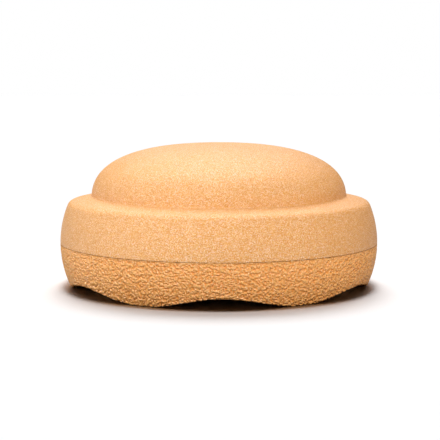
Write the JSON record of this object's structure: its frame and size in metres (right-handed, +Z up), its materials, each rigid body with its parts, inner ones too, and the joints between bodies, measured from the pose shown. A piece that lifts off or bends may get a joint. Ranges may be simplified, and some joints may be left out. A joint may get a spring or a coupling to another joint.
{
  "type": "balance stone",
  "caption": "Domed foam balance stone on a coarse-textured wavy grip base, hollow underneath, to step on, to stack, or to turn over and rock on as a balance board.",
  "frame": {"origin": "centre of the round footprint, on the plane that the six feet stand on", "axes": "+Z up, along the stone's axis of symmetry; -Y through the middle of an arch between two feet; +X through the middle of a foot"},
  "size_m": [0.275, 0.275, 0.1236],
  "materials": {
    "fine_foam": "light orange moulded bead foam with a fine, faintly glossy grained skin",
    "coarse_foam": "the same light orange foam with a coarse, pebbled grip texture"
  },
  "bodies": {
    "root": {"upper_shell": "fine_foam", "grip_base": "coarse_foam"}
  },
  "joints": []
}
